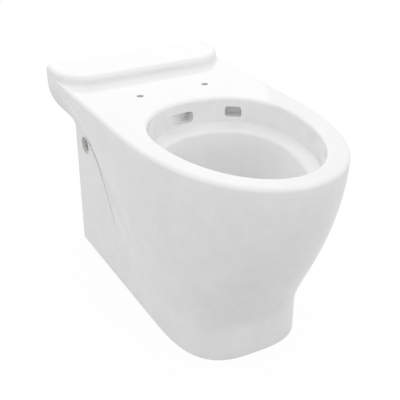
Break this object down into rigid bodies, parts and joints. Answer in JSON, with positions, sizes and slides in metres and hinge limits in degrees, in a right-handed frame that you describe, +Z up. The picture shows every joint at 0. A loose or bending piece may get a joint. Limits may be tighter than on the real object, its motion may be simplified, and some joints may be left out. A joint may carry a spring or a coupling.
{
  "type": "back to wall toilet",
  "caption": "Back to wall toilet pan in white glazed china: rimless oval bowl, flat seat deck with raised rear ledge, flared skirt over a narrow foot, P-trap outlet and flush inlet behind.",
  "frame": {"origin": "on the floor, under the middle of the pan's length and width", "axes": "+Z up, +Y towards the wall, -Y towards the front of the rim, +X to the right seen from the front"},
  "size_m": [0.4, 0.75, 0.47],
  "materials": {
    "china": "high gloss white glaze",
    "seal_rubber": "satin"
  },
  "bodies": {
    "root": {"rim_deck": "china", "rear_ledge": "china", "flush_wall": "china", "right_port_block": "china", "rear_port_block": "china", "flush_shelf": "china", "bowl": "china", "sump": "china", "trapway": "china", "outlet_spigot": "china", "flush_chamber": "china", "jet_duct_left": "china", "jet_duct_right": "china", "inlet_horn": "china", "inlet_seal": "seal_rubber", "skirt_left": "china", "skirt_right": "china", "side_panel_left": "china", "side_panel_right": "china", "foot_front": "china", "foot_ring": "china", "rear_tie": "china", "outlet_bridge": "china", "web_left": "china", "web_right": "china", "web_front": "china", "hole_pad_left": "china", "hole_pad_right": "china"}
  },
  "joints": []
}
